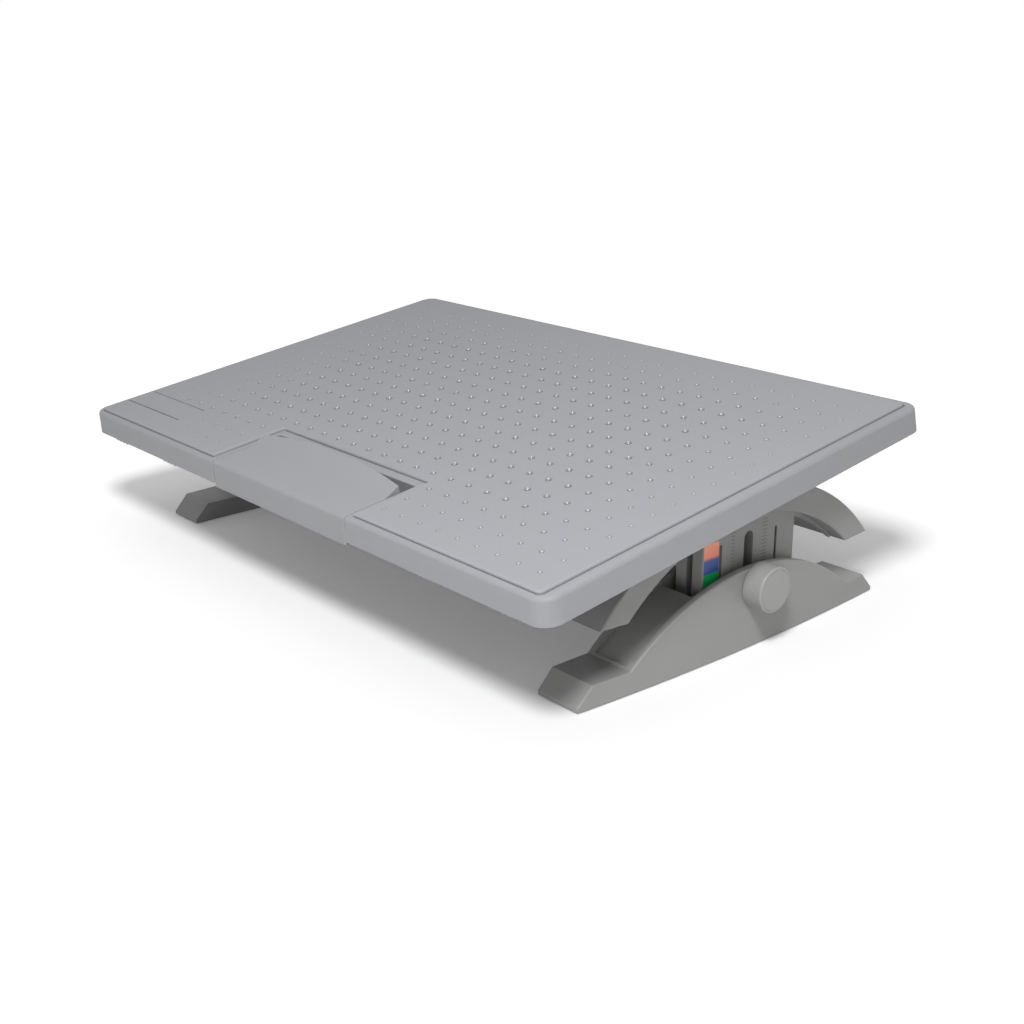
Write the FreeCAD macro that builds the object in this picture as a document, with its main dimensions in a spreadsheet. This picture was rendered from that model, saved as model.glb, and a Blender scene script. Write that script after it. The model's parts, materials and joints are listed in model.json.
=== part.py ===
import FreeCAD, Part
import math
import os
import Sketcher

# Tilting under-desk footrest. X runs across the seat of the feet, +Y to the back, +Z up.
# The platform hangs on a cross axle between two arched towers, and each tower slides in a foot.

TABLE = (
    # platform, measured from the axle
    ("board_width", 564.0), ("board_depth", 367.5), ("board_front", 205.5),
    ("rim_top", 22.26), ("rim_height", 18.0), ("rim_flare", 1.5), ("rim_wall", 2.6),
    ("rim_round", 3.0), ("corner_radius", 12.0), ("plate_thickness", 3.0),
    ("strip_side", 7.5), ("strip_front", 4.0), ("strip_rear", 6.5),
    ("rib_thickness", 2.0), ("rib_bottom", 8.0), ("rib_inner", 60.0), ("rib_middle", 120.0),
    ("rib_outer_gap", 7.0), ("rib_edge_gap", 14.5), ("rib_row_a", -100.0), ("rib_row_b", -55.0),
    ("rib_row_c", 60.0), ("rib_row_d", 110.0),
    ("boss_radius", 5.0), ("boss_length", 6.0),
    ("comb_inner", 159.0), ("comb_outer", 239.0), ("comb_pitch", 5.4), ("comb_tooth", 3.4),
    ("comb_drop", 2.2), ("comb_setback", 1.8), ("comb_reach", 4.0),
    # tread mat
    ("mat_seat", 1.5), ("mat_rise", 2.0), ("mat_gap", 0.8), ("mat_round", 1.6), ("mat_corner", 4.0),
    ("patch_width", 84.8), ("patch_front", -176.3), ("patch_rear", -152.5), ("patch_depth", 0.8),
    ("patch_groove", 1.2), ("patch_rise", 0.25),
    # pedal and its opening
    ("pedal_half", 84.7), ("pedal_gap", 0.9), ("notch_half", 89.7), ("notch_rear", -136.5),
    ("notch_round", 2.0), ("well_rear", -143.6), ("well_wall", 2.5), ("well_floor", 6.0),
    ("well_shelf", 25.0), ("well_round", 0.8), ("ramp_start", -169.45), ("ramp_slope", 0.4286),
    ("ridge_crest", -149.15), ("ridge_radius", 487.0), ("pedal_back", 15.5),
    ("pedal_skin", 2.5), ("pedal_round", 1.0), ("pedal_drop", 2.6),
    ("pivot_y", -194.85), ("pivot_z", 14.0), ("pivot_radius", 2.0), ("pivot_spare", 0.9),
    ("lever_x", 8.5), ("lever_width", 5.0), ("lever_arm", 9.0), ("lever_half", 4.2),
    ("return_x", 50.0), ("return_y", -160.8), ("return_radius", 4.3), ("return_wire", 1.2),
    ("return_turns", 4.0),
    # friction lock on the axle
    ("jaw_half", 10.0), ("jaw_pin_y", -17.0), ("jaw_pin_z", 4.5), ("jaw_pin_radius", 2.0),
    ("jaw_arm", 12.0), ("jaw_front", -21.5), ("jaw_web", -12.5), ("jaw_head", 7.6),
    ("jaw_split", 0.6), ("jaw_block", 11.5), ("jaw_tail", 26.5), ("jaw_tail_top", -8.0),
    ("jaw_bottom", -12.5), ("lining_radius", 7.0), ("lining_fit", 0.05),
    ("housing_half", 34.0), ("housing_front", -24.0), ("housing_rear", 24.0),
    ("flange_thickness", 3.0), ("cheek_gap", 0.6), ("cheek_width", 4.0), ("cheek_rear", -6.5),
    ("saddle_half", 9.5), ("lock_screw_x", 28.0), ("lock_screw_y", 17.0),
    ("lock_bolt_y", 18.0), ("lock_bolt_radius", 2.5), ("lock_spring_length", 12.0),
    ("lock_spring_radius", 4.6), ("lock_spring_wire", 1.2), ("lock_spring_turns", 5.0),
    ("rod_x", 14.0), ("rod_radius", 2.0), ("rod_bend", 4.0), ("rod_clearance", 0.3),
    # axle and its bearings
    ("axis_depth", 23.07), ("axis_height", 104.5), ("rest_tilt", 7.93),
    ("axle_radius", 5.0), ("axle_end", 8.0), ("axle_fit", 0.05),
    ("bracket_width", 18.0), ("bracket_gap", 2.0), ("bracket_flange", 23.0),
    ("bracket_half", 10.5), ("bracket_bottom", -10.5), ("bracket_screw_y", 17.0),
    ("bush_radius", 7.0), ("bush_flange", 9.0), ("bush_collar", 1.7),
    ("screw_radius", 2.0), ("screw_head", 4.0), ("screw_head_height", 2.6), ("screw_bite", 7.0),
    # towers
    ("tower_inset", 25.0), ("tower_depth", 51.0), ("tower_face", 3.5), ("tower_skin", 3.0),
    ("tower_round", 0.8), ("tower_block", 9.0), ("arch_radius", 178.7), ("arch_crown", 115.0),
    ("under_radius", 162.5), ("under_crown", 94.8), ("tip_outer", 136.2), ("tip_inner", 111.5),
    ("leg_front", -36.0), ("leg_rear", 58.4), ("leg_bottom", 33.6), ("leg_top", 97.2),
    ("leg_inset", 7.0), ("slab_thickness", 9.0), ("slab_gap", 5.0),
    ("slot_y", 10.0), ("slot_width", 9.2), ("slot_top", 80.9), ("slot_bottom", 35.7),
    ("slit_width", 2.5), ("slit_front", -18.3), ("slit_rear", 38.7), ("slit_top", 78.0), ("leg_round", 1.0),
    ("fin_inset", 2.0), ("fin_thickness", 4.0), ("fin_height", 4.5), ("fin_tip", 1.2),
    ("label_front", -34.8), ("label_rear", -20.2), ("label_bottom", 49.5), ("label_top", 81.1),
    ("label_depth", 0.5), ("label_thickness", 0.4),
    ("axle_screw_inset", 8.0), ("axle_screw_radius", 2.5), ("axle_screw_head", 4.0),
    # feet
    ("foot_width", 36.0), ("foot_inset", 3.6), ("foot_bow", 1904.4), ("foot_spare", 12.0),
    ("foot_half", 152.0), ("foot_reach", 156.0), ("foot_nose", 3.8), ("foot_flat", 139.8),
    ("foot_pad_top", 16.2), ("foot_lift", 0.8), ("dome_crown", 58.8), ("foot_inner_wall", 5.0),
    ("dome_ease", 6.5), ("dome_shift", 3.8), ("ledge_width", 4.0), ("ledge_half", 106.5),
    ("wall_gap", 0.3), ("cavity_half", 110.5), ("riser_drop", 3.0), ("riser_skin", 3.0),
    ("riser_front", -109.0), ("riser_rear", -46.0), ("guide_gap", 0.3), ("guide_wall", 2.5),
    ("guide_top", 42.0), ("guide_rib_top", 44.0), ("guide_rib_reach", 8.0), ("foot_round", 1.2),
    ("pad_near", 118.0), ("pad_far", 147.0), ("pad_inset", 6.0), ("pad_width", 25.0),
    ("pad_seat", 1.2), ("pad_fit", 0.1),
    # clamp and knob
    ("clamp_height", 45.3), ("bolt_radius", 4.0), ("bolt_hole", 0.5), ("bolt_head", 7.0),
    ("bolt_head_height", 2.8), ("clamp_plate", 3.0), ("clamp_plate_half", 11.0),
    ("access_radius", 8.5), ("knob_radius", 16.2), ("knob_gap", 0.4), ("knob_height", 15.2),
    ("knob_round", 1.5), ("knob_seat", 1.0), ("washer_radius", 13.4), ("washer_gap", 0.2),
    ("washer_thickness", 1.0), ("cap_radius", 14.2), ("cap_thickness", 2.0), ("cap_gap", 0.2),
    ("bolt_short", 4.4),
)

doc = FreeCAD.newDocument("footrest")
dims = doc.addObject("Spreadsheet::Sheet", "Dims")
for row, (alias, number) in enumerate(TABLE, start=1):
    dims.set("A%d" % row, alias)
    dims.set("B%d" % row, repr(number))
    dims.setAlias("B%d" % row, alias)
doc.recompute()


class Size:
    """A length that keeps its number and the spreadsheet expression that gives it."""

    def __init__(self, value, text):
        self.value = float(value)
        self.text = text

    def __add__(self, other):
        other = size(other)
        return Size(self.value + other.value, "(%s + %s)" % (self.text, other.text))

    def __radd__(self, other):
        return size(other) + self

    def __sub__(self, other):
        other = size(other)
        return Size(self.value - other.value, "(%s - %s)" % (self.text, other.text))

    def __rsub__(self, other):
        return size(other) - self

    def __mul__(self, other):
        other = size(other)
        return Size(self.value * other.value, "(%s * %s)" % (self.text, other.text))

    def __rmul__(self, other):
        return size(other) * self

    def __truediv__(self, other):
        other = size(other)
        return Size(self.value / other.value, "(%s / %s)" % (self.text, other.text))

    def __neg__(self):
        return size(0) - self


def size(number):
    if isinstance(number, Size):
        return number
    return Size(number, "(%r)" % float(number))


def root(number):
    return Size(math.sqrt(number.value), "sqrt(%s)" % number.text)


class Table:
    pass


d = Table()
for alias, number in TABLE:
    setattr(d, alias, Size(getattr(dims, alias), "Dims." + alias))


def bind(thing, prop, number):
    number = size(number)
    thing.setExpression(prop, number.text)


def circle_height(crown, radius, across):
    """Height of an arc with this crown and radius, this far from its middle."""
    return crown - radius + root(radius * radius - across * across)


def place(thing, x=0, y=0, z=0, tilt=None):
    """Places a piece; the angle turns it about the X axis."""
    if tilt is None:
        thing.Placement = FreeCAD.Placement()
    else:
        turn = FreeCAD.Rotation(FreeCAD.Vector(1, 0, 0), tilt.value)
        thing.Placement = FreeCAD.Placement(FreeCAD.Vector(0, 0, 0), turn)
        bind(thing, "Placement.Rotation.Angle", tilt)
    bind(thing, "Placement.Base.x", x)
    bind(thing, "Placement.Base.y", y)
    bind(thing, "Placement.Base.z", z)


def on_platform(thing):
    place(thing, 0, d.axis_depth, d.axis_height, d.rest_tilt)


def on_tower(thing):
    place(thing, 0, d.axis_depth, 0)


def new_body(name):
    body = doc.addObject("PartDesign::Body", name)
    body.Label = name
    return body


def new_sketch(body, name, plane, lift):
    sketch = body.newObject("Sketcher::SketchObject", name)
    base = [item for item in body.Origin.OriginFeatures if item.Role == plane][0]
    sketch.AttachmentSupport = [(base, "")]
    sketch.MapMode = "FlatFace"
    if lift is not None:
        bind(sketch, "AttachmentOffset.Base.z", lift)
    return sketch


def pin_point(sketch, geo, pos, x, y, bound):
    """Fixes one sketch point at its two coordinates."""
    for kind, axis, value in (("DistanceX", -2, size(x)), ("DistanceY", -1, size(y))):
        if abs(value.value) < 1e-9:
            sketch.addConstraint(Sketcher.Constraint("PointOnObject", geo, pos, axis))
        else:
            number = sketch.addConstraint(
                Sketcher.Constraint(kind, -1, 1, geo, pos, value.value))
            bound.append((number, value))


def pin_half(sketch, geo, level, value, bound):
    """Holds the middle of a half circle on its chord."""
    value = size(value)
    kind = "DistanceY" if level else "DistanceX"
    if abs(value.value) < 1e-9:
        axis = -1 if level else -2
        sketch.addConstraint(Sketcher.Constraint("PointOnObject", geo, 3, axis))
    else:
        number = sketch.addConstraint(Sketcher.Constraint(kind, -1, 1, geo, 3, value.value))
        bound.append((number, value))


def add_loop(sketch, corners, bound):
    """One closed loop. A corner is (x, y) or (x, y, bend): bend is the radius of the arc to the
    next corner, positive when the arc runs counter-clockwise."""
    count = len(corners)
    ends = []
    for index in range(count):
        here = corners[index]
        there = corners[(index + 1) % count]
        ax, ay = size(here[0]).value, size(here[1]).value
        bx, by = size(there[0]).value, size(there[1]).value
        start = FreeCAD.Vector(ax, ay, 0)
        end = FreeCAD.Vector(bx, by, 0)
        if len(here) == 2:
            geo = sketch.addGeometry(Part.LineSegment(start, end), False)
            ends.append((geo, 1, 2))
            continue
        bend = here[2]
        radius = abs(bend.value)
        half = (end - start).Length / 2
        unit = (end - start).normalize()
        left = FreeCAD.Vector(-unit.y, unit.x, 0)
        reach = math.sqrt(max(radius * radius - half * half, 0))
        reach = 0 if reach < 1e-3 else reach
        side = 1 if bend.value > 0 else -1
        middle = (start + end) * 0.5 + left * (reach * side)
        first = start if side > 0 else end
        last = end if side > 0 else start
        a = math.atan2(first.y - middle.y, first.x - middle.x)
        b = math.atan2(last.y - middle.y, last.x - middle.x)
        if b < a:
            b += 2 * math.pi
        ring = Part.Circle(middle, FreeCAD.Vector(0, 0, 1), radius)
        geo = sketch.addGeometry(Part.ArcOfCircle(ring, a, b), False)
        if reach < 1e-6:
            level = here[1] if abs(ay - by) < 1e-9 else here[0]
            pin_half(sketch, geo, abs(ay - by) < 1e-9, level, bound)
        else:
            number = sketch.addConstraint(Sketcher.Constraint("Radius", geo, radius))
            bound.append((number, bend if side > 0 else -bend))
        ends.append((geo, 1, 2) if side > 0 else (geo, 2, 1))
    for index in range(count):
        geo, pos = ends[index][0], ends[index][1]
        before = ends[index - 1]
        sketch.addConstraint(Sketcher.Constraint("Coincident", before[0], before[2], geo, pos))
        pin_point(sketch, geo, pos, corners[index][0], corners[index][1], bound)


def outline(body, name, plane, loops, lift=None, circles=()):
    """A sketch of closed loops and circles, each size bound to the sheet."""
    sketch = new_sketch(body, name, plane, lift)
    bound = []
    for corners in loops:
        add_loop(sketch, corners, bound)
    for x, y, radius in circles:
        x, y, radius = size(x), size(y), size(radius)
        middle = FreeCAD.Vector(x.value, y.value, 0)
        ring = Part.Circle(middle, FreeCAD.Vector(0, 0, 1), radius.value)
        geo = sketch.addGeometry(ring, False)
        number = sketch.addConstraint(Sketcher.Constraint("Radius", geo, radius.value))
        bound.append((number, radius))
        pin_point(sketch, geo, 3, x, y, bound)
    for number, value in bound:
        sketch.setExpression("Constraints[%d]" % number, value.text)
    doc.recompute()
    if "Invalid" in sketch.State:
        raise RuntimeError("sketch does not solve: " + name)
    return sketch


def volume(body):
    doc.recompute()
    if body.Shape is None or body.Shape.isNull():
        return 0.0
    return body.Shape.Volume


def pad(body, sketch, length, back=False, both=False, taper=None):
    before = volume(body)
    feature = body.newObject("PartDesign::Pad", sketch.Name + "Pad")
    feature.Profile = sketch
    bind(feature, "Length", length)
    feature.Reversed = back
    if both:
        feature.SideType = "Symmetric"
    if taper is not None:
        bind(feature, "TaperAngle", taper)
    if not volume(body) > before:
        raise RuntimeError("pad adds nothing: " + sketch.Name)
    return feature


def pocket(body, sketch, length=None, up=False, both=False, taper=None):
    before = volume(body)
    feature = body.newObject("PartDesign::Pocket", sketch.Name + "Pocket")
    feature.Profile = sketch
    if length is None:
        feature.Type = "ThroughAll"
    else:
        bind(feature, "Length", length)
    feature.Reversed = up
    if both:
        feature.SideType = "Symmetric"
    if taper is not None:
        bind(feature, "TaperAngle", taper)
    if not volume(body) < before - 0.01:
        raise RuntimeError("pocket cuts nothing: " + sketch.Name)
    return feature


def fillet(body, base, edges, radius):
    feature = body.newObject("PartDesign::Fillet", base.Name + "Round")
    feature.Base = (base, edges)
    bind(feature, "Radius", radius)
    doc.recompute()
    return feature


def edges_where(shape, test):
    """Names of the edges whose every vertex and middle pass the test."""
    names = []
    for index, edge in enumerate(shape.Edges, start=1):
        points = [vertex.Point for vertex in edge.Vertexes]
        points.append(edge.valueAt((edge.FirstParameter + edge.LastParameter) / 2))
        if all(test(point) for point in points):
            names.append("Edge%d" % index)
    return names


def box_loop(x0, y0, x1, y1):
    return [(x0, y0), (x1, y0), (x1, y1), (x0, y1)]


def round_loop(x0, y0, x1, y1, r):
    return [(x0 + r, y0), (x1 - r, y0, r), (x1, y0 + r), (x1, y1 - r, r),
            (x1 - r, y1), (x0 + r, y1, r), (x0, y1 - r), (x0, y0 + r, r)]


def slot_loop(middle, half, low, high):
    """An upright slot with round ends."""
    return [(middle - half, high - half), (middle - half, low + half, half),
            (middle + half, low + half), (middle + half, high - half, half)]


def cylinder(name, radius, length, x, y, z, along="X"):
    piece = doc.addObject("Part::Cylinder", name)
    bind(piece, "Radius", radius)
    bind(piece, "Height", length)
    if along == "X":
        piece.Placement = FreeCAD.Placement(
            FreeCAD.Vector(), FreeCAD.Rotation(FreeCAD.Vector(0, 1, 0), 90))
    bind(piece, "Placement.Base.x", x)
    bind(piece, "Placement.Base.y", y)
    bind(piece, "Placement.Base.z", z)
    return piece


def block(name, x0, x1, y0, y1, z0, z1):
    piece = doc.addObject("Part::Box", name)
    x0, x1, y0, y1, z0, z1 = [size(item) for item in (x0, x1, y0, y1, z0, z1)]
    bind(piece, "Length", x1 - x0)
    bind(piece, "Width", y1 - y0)
    bind(piece, "Height", z1 - z0)
    bind(piece, "Placement.Base.x", x0)
    bind(piece, "Placement.Base.y", y0)
    bind(piece, "Placement.Base.z", z0)
    return piece


def join(name, pieces):
    whole = doc.addObject("Part::MultiFuse", name)
    whole.Shapes = pieces
    whole.Label = name
    return whole


def cut(name, base, tool):
    whole = doc.addObject("Part::Cut", name)
    whole.Base = base
    whole.Tool = tool
    whole.Label = name
    return whole


def group(name, pieces):
    whole = doc.addObject("Part::Compound", name)
    whole.Links = pieces
    whole.Label = name
    return whole


def mirror(name, source):
    other = doc.addObject("Part::Mirroring", name)
    other.Source = source
    other.Normal = FreeCAD.Vector(1, 0, 0)
    other.Label = name
    return other


def disc_body(name, radius, y, z, x0, length):
    """A round piece lying along X."""
    body = new_body(name)
    sketch = outline(body, name.title().replace("_", "") + "Disc", "YZ_Plane", [], x0,
                     [(y, z, radius)])
    pad(body, sketch, length)
    return body


NODES = []


def node(thing):
    NODES.append(thing)
    return thing


def pair(thing, left_name):
    """Keeps the right-hand piece and its mirror image."""
    NODES.append(thing)
    NODES.append(mirror(left_name, thing))


# Places along X, from the platform's side inwards, and the foot's face where it bows out most
d.tower_outer = d.board_width / 2 - d.tower_inset
tower_inner = d.tower_outer - d.tower_depth
d.leg_face = d.tower_outer - d.leg_inset
d.fin_x = d.leg_face - d.slab_thickness - d.fin_inset
d.bracket_outer = tower_inner - d.bracket_gap
d.bracket_inner = d.bracket_outer - d.bracket_width
d.axle_half = d.tower_outer - d.axle_end
d.axle_screw_x = tower_inner + d.axle_screw_inset
d.foot_end_x = d.tower_outer - d.foot_inset
d.foot_inner = d.foot_end_x - d.foot_width
d.foot_wide = d.foot_end_x + d.foot_spare
bow_rise = d.foot_bow - root(d.foot_bow * d.foot_bow - d.foot_reach * d.foot_reach)
foot_face = d.foot_end_x + bow_rise
d.pad_inner = d.foot_inner + d.pad_inset
d.pad_outer = d.pad_inner + d.pad_width
d.knob_base = foot_face + d.knob_gap
d.knob_face = d.knob_base + d.knob_height
d.washer_base = foot_face + d.washer_gap
d.bolt_end = d.knob_face - d.bolt_short

# Heights and lines that several pieces share
rim_bottom = d.rim_top - d.rim_height
mat_floor = d.rim_top - d.mat_seat
plate_under = mat_floor - d.plate_thickness
mount_plane = plate_under - d.boss_length
flange_under = mount_plane - d.flange_thickness
top_half = d.board_width / 2 - d.rim_flare
top_front = d.rim_flare - d.board_front
top_rear = d.board_depth - d.board_front - d.rim_flare
flare_angle = Size(math.degrees(math.atan(d.rim_flare.value / d.rim_height.value)),
                   "atan(%s / %s)" % (d.rim_flare.text, d.rim_height.text))
well_half = d.pedal_half + d.pedal_gap
pivot_half = well_half + d.well_wall + d.pivot_spare
rib_outer = d.bracket_inner - d.rib_outer_gap
rib_edge = top_half - d.rib_edge_gap

# Platform: drafted rim, open underneath
shell = new_body("platform_shell")
sk = outline(shell, "ShellTop", "XY_Plane",
             [round_loop(-top_half, top_front, top_half, top_rear, d.corner_radius)], d.rim_top)
base = pad(shell, sk, d.rim_height, back=True, taper=flare_angle)
top_z = d.rim_top.value
fillet(shell, base, edges_where(base.Shape, lambda p: abs(p.z - top_z) < 0.01), d.rim_round)
in_half = top_half - d.rim_wall
in_front = top_front + d.rim_wall
in_rear = top_rear - d.rim_wall
sk = outline(shell, "ShellUnder", "XY_Plane",
             [round_loop(-in_half, in_front, in_half, in_rear, d.corner_radius - d.rim_wall)],
             plate_under)
pocket(shell, sk, d.rim_height, taper=flare_angle)
# Seat of the tread mat, with its notch round the pedal
seat_half = top_half - d.strip_side
seat_front = top_front + d.strip_front
seat_rear = top_rear - d.strip_rear


def mat_loop(inset):
    half = seat_half - inset
    front = seat_front + inset
    rear = seat_rear - inset
    notch = d.notch_half + inset
    back = d.notch_rear + inset
    r = d.mat_corner
    n = d.notch_round
    return [(-half + r, front), (-notch, front), (-notch, back - n, -n), (-notch + n, back),
            (notch - n, back, -n), (notch, back - n), (notch, front), (half - r, front, r),
            (half, front + r), (half, rear - r, r), (half - r, rear), (-half + r, rear, r),
            (-half, rear - r), (-half, front + r, r)]


sk = outline(shell, "MatSeat", "XY_Plane", [mat_loop(size(0))], d.rim_top)
pocket(shell, sk, d.mat_seat)
# Well of the pedal with a shelf for the return springs
wall_half = well_half + d.well_wall
wall_rear = d.well_rear + d.well_wall
sk = outline(shell, "WellBlock", "XY_Plane",
             [box_loop(-wall_half, in_front - 1, wall_half, wall_rear)], d.well_floor)
pad(shell, sk, plate_under - d.well_floor + 0.5)
ahead = -d.board_front - 5
sk = outline(shell, "WellCut", "XY_Plane",
             [box_loop(-well_half, ahead, well_half, d.well_rear)], d.well_floor + d.well_wall)
pocket(shell, sk, d.rim_height, up=True)
sk = outline(shell, "WellFront", "XY_Plane",
             [box_loop(-well_half, ahead, well_half, d.well_rear - d.well_shelf)],
             rim_bottom - 3)
base = pocket(shell, sk, d.rim_height, up=True)
lip = []
for index, edge in enumerate(base.Shape.Edges, start=1):
    points = [vertex.Point for vertex in edge.Vertexes]
    level = all(abs(p.z - d.rim_top.value) < 0.01 for p in points)
    beside = all(abs(abs(p.x) - well_half.value) < 0.01 for p in points)
    behind = all(abs(p.y - d.well_rear.value) < 0.01 for p in points)
    if level and (beside or behind):
        lip.append("Edge%d" % index)
fillet(shell, base, lip, d.well_round)
# Ribs
t = d.rib_thickness / 2
rows = []
for place_x, front in ((d.rib_inner, wall_rear - 0.5), (d.rib_middle, in_front - 1),
                       (rib_outer, in_front - 1), (rib_edge, in_front - 1)):
    rows.append(box_loop(place_x - t, front, place_x + t, in_rear + 1))
    rows.append(box_loop(-place_x - t, front, -place_x + t, in_rear + 1))
sk = outline(shell, "LongRibs", "XY_Plane", rows, d.rib_bottom)
pad(shell, sk, plate_under - d.rib_bottom)
rows = []
for place_y in (d.rib_row_a, d.rib_row_b, d.rib_row_c, d.rib_row_d):
    rows.append(box_loop(-rib_outer, place_y - t, rib_outer, place_y + t))
sk = outline(shell, "CrossRibs", "XY_Plane", rows, d.rib_bottom)
pad(shell, sk, plate_under - d.rib_bottom)
# Combs of four short ribs behind the front wall, which reach a little below it
comb_front = d.comb_setback - d.board_front
rows = []
for middle in (-d.comb_outer, -d.comb_inner, d.comb_inner, d.comb_outer):
    for step in (-1.5, -0.5, 0.5, 1.5):
        x = middle + d.comb_pitch * step
        rows.append(box_loop(x - d.comb_tooth / 2, comb_front,
                             x + d.comb_tooth / 2, comb_front + d.comb_reach))
sk = outline(shell, "Combs", "XY_Plane", rows, rim_bottom - d.comb_drop)
pad(shell, sk, plate_under - rim_bottom + d.comb_drop)
# Bosses for the bearing brackets and the lock
bracket_x = (d.bracket_inner + d.bracket_outer) / 2
spots = []
for x in (bracket_x, -bracket_x):
    for y in (d.bracket_screw_y, -d.bracket_screw_y):
        spots.append((x, y))
lock_spots = []
for x in (d.lock_screw_x, -d.lock_screw_x):
    for y in (d.lock_screw_y, -d.lock_screw_y):
        lock_spots.append((x, y))
sk = outline(shell, "Bosses", "XY_Plane", [], mount_plane,
             [(x, y, d.boss_radius) for x, y in spots + lock_spots])
pad(shell, sk, d.boss_length)
sk = outline(shell, "BossHoles", "XY_Plane", [], mount_plane,
             [(x, y, d.screw_radius + d.axle_fit) for x, y in spots + lock_spots])
pocket(shell, sk, d.screw_bite + 0.4, up=True)
sk = outline(shell, "PivotHoles", "YZ_Plane", [], None,
             [(d.pivot_y, d.pivot_z, d.pivot_radius + d.axle_fit)])
pocket(shell, sk, pivot_half * 2 + 1, both=True)
on_platform(shell)
node(shell)

# Tread mat: seated slab with a rounded upper edge and a bare patch
mat = new_body("tread_mat")
mat_top = d.rim_top + d.mat_rise
sk = outline(mat, "MatBase", "XY_Plane", [mat_loop(d.mat_gap)], mat_floor)
base = pad(mat, sk, d.mat_seat + d.mat_rise)
mat_z = mat_top.value
fillet(mat, base, edges_where(base.Shape, lambda p: abs(p.z - mat_z) < 0.01), d.mat_round)
lane = d.patch_groove / 2
patch_left = d.mat_gap + d.mat_round + 0.7 - seat_half
patch_right = patch_left + d.patch_width
rows = []
for line in (d.patch_front, d.patch_rear):
    rows.append(box_loop(-d.board_width / 2, line - lane, patch_right + lane, line + lane))
sk = outline(mat, "PatchGrooves", "XY_Plane", rows, mat_top)
pocket(mat, sk, d.patch_depth)
sk = outline(mat, "PatchPlate", "XY_Plane", [
    box_loop(patch_left, d.patch_front + lane, patch_right, d.patch_rear - lane)],
    mat_top - d.patch_rise)
pad(mat, sk, d.patch_rise * 2)
on_platform(mat)
node(mat)

# Release pedal: flat front, ramp, curved ridge, open underneath
pedal = new_body("release_pedal")
back_y = d.ridge_crest + 6
ramp_end = d.rim_top + (back_y - d.ramp_start) * d.ramp_slope
pedal_bottom = rim_bottom - d.pedal_drop
sk = outline(pedal, "PedalSide", "YZ_Plane", [[
    (-d.board_front, pedal_bottom), (d.pivot_y + 5, pedal_bottom),
    (d.ramp_start, d.pedal_back), (back_y, d.pedal_back), (back_y, ramp_end),
    (d.ramp_start, d.rim_top), (top_front, d.rim_top)]])
pad(pedal, sk, d.pedal_half * 2, both=True)
wide = d.pedal_half + 5
arc_y = d.ridge_crest - d.ridge_radius + root(d.ridge_radius * d.ridge_radius - wide * wide)
sk = outline(pedal, "RidgeCut", "XY_Plane", [[
    (-wide, arc_y, -d.ridge_radius), (wide, arc_y), (wide, back_y + 5), (-wide, back_y + 5)]],
    ramp_end + 5)
base = pocket(pedal, sk)
nose = edges_where(base.Shape, lambda p: abs(p.y - top_front.value) < 0.1
                   and abs(p.z - d.rim_top.value) < 0.1)
base = fillet(pedal, base, nose, d.rim_round)
soft = []
for index, edge in enumerate(base.Shape.Edges, start=1):
    middle = edge.valueAt((edge.FirstParameter + edge.LastParameter) / 2)
    on_ridge = abs(middle.x) < 1 and abs(middle.y - d.ridge_crest.value) < 0.5
    beside = abs(abs(middle.x) - d.pedal_half.value) < 0.01
    if (on_ridge or beside) and middle.z > d.rim_top.value - 0.01 and middle.y < back_y.value:
        soft.append("Edge%d" % index)
base = fillet(pedal, base, soft, d.pedal_round)
# Underside hollow
skin = d.pedal_skin
inner_radius = d.ridge_radius - skin
inner_half = d.pedal_half - skin
inner_y = d.ridge_crest - d.ridge_radius + root(
    inner_radius * inner_radius - inner_half * inner_half)
sk = outline(pedal, "PedalHollow", "XY_Plane", [[
    (-inner_half, top_front + skin), (inner_half, top_front + skin),
    (inner_half, inner_y, inner_radius), (-inner_half, inner_y)]],
    d.rim_top - skin)
pocket(pedal, sk, d.rim_height * 2)
# Lever that pulls the rod
sk = outline(pedal, "PedalLever", "YZ_Plane", [[
    (d.pivot_y - d.lever_half, d.pivot_z - d.lever_arm - 3.5),
    (d.pivot_y + d.lever_half, d.pivot_z - d.lever_arm - 3.5),
    (d.pivot_y + d.lever_half, d.rim_top - skin + 0.5),
    (d.pivot_y - d.lever_half, d.rim_top - skin + 0.5)]],
    d.lever_x - d.lever_width / 2)
pad(pedal, sk, d.lever_width)
sk = outline(pedal, "PedalBores", "YZ_Plane", [], None,
             [(d.pivot_y, d.pivot_z, d.pivot_radius + d.axle_fit)])
pocket(pedal, sk, d.pedal_half * 3, both=True)
sk = outline(pedal, "HookBore", "YZ_Plane", [], None,
             [(d.pivot_y, d.pivot_z - d.lever_arm, d.rod_radius + d.rod_clearance)])
pocket(pedal, sk, d.lever_x * 4, both=True)
on_platform(pedal)
node(pedal)

pin = disc_body("pedal_pin", d.pivot_radius, d.pivot_y, d.pivot_z, -pivot_half,
                pivot_half * 2)
on_platform(pin)
node(pin)


def coil(name, radius, wire, length, turns, x, y, z):
    """Compression spring standing on z: a closed helix swept with its wire."""
    path = doc.addObject("Part::Helix", name + "_path")
    rise = length - wire * 2
    bind(path, "Radius", radius)
    bind(path, "Height", rise)
    bind(path, "Pitch", rise / turns)
    profile = doc.addObject("Part::Circle", name + "_wire")
    profile.Placement = FreeCAD.Placement(
        FreeCAD.Vector(radius.value, 0, 0), FreeCAD.Rotation(FreeCAD.Vector(1, 0, 0), 90))
    bind(profile, "Radius", wire)
    bind(profile, "Placement.Base.x", radius)
    spring = doc.addObject("Part::Sweep", name + "_coil")
    spring.Sections = [profile]
    spring.Spine = (path, ["Edge1"])
    spring.Solid = True
    spring.Frenet = True
    bind(spring, "Placement.Base.x", x)
    bind(spring, "Placement.Base.y", y)
    bind(spring, "Placement.Base.z", z + wire)
    return spring


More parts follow.
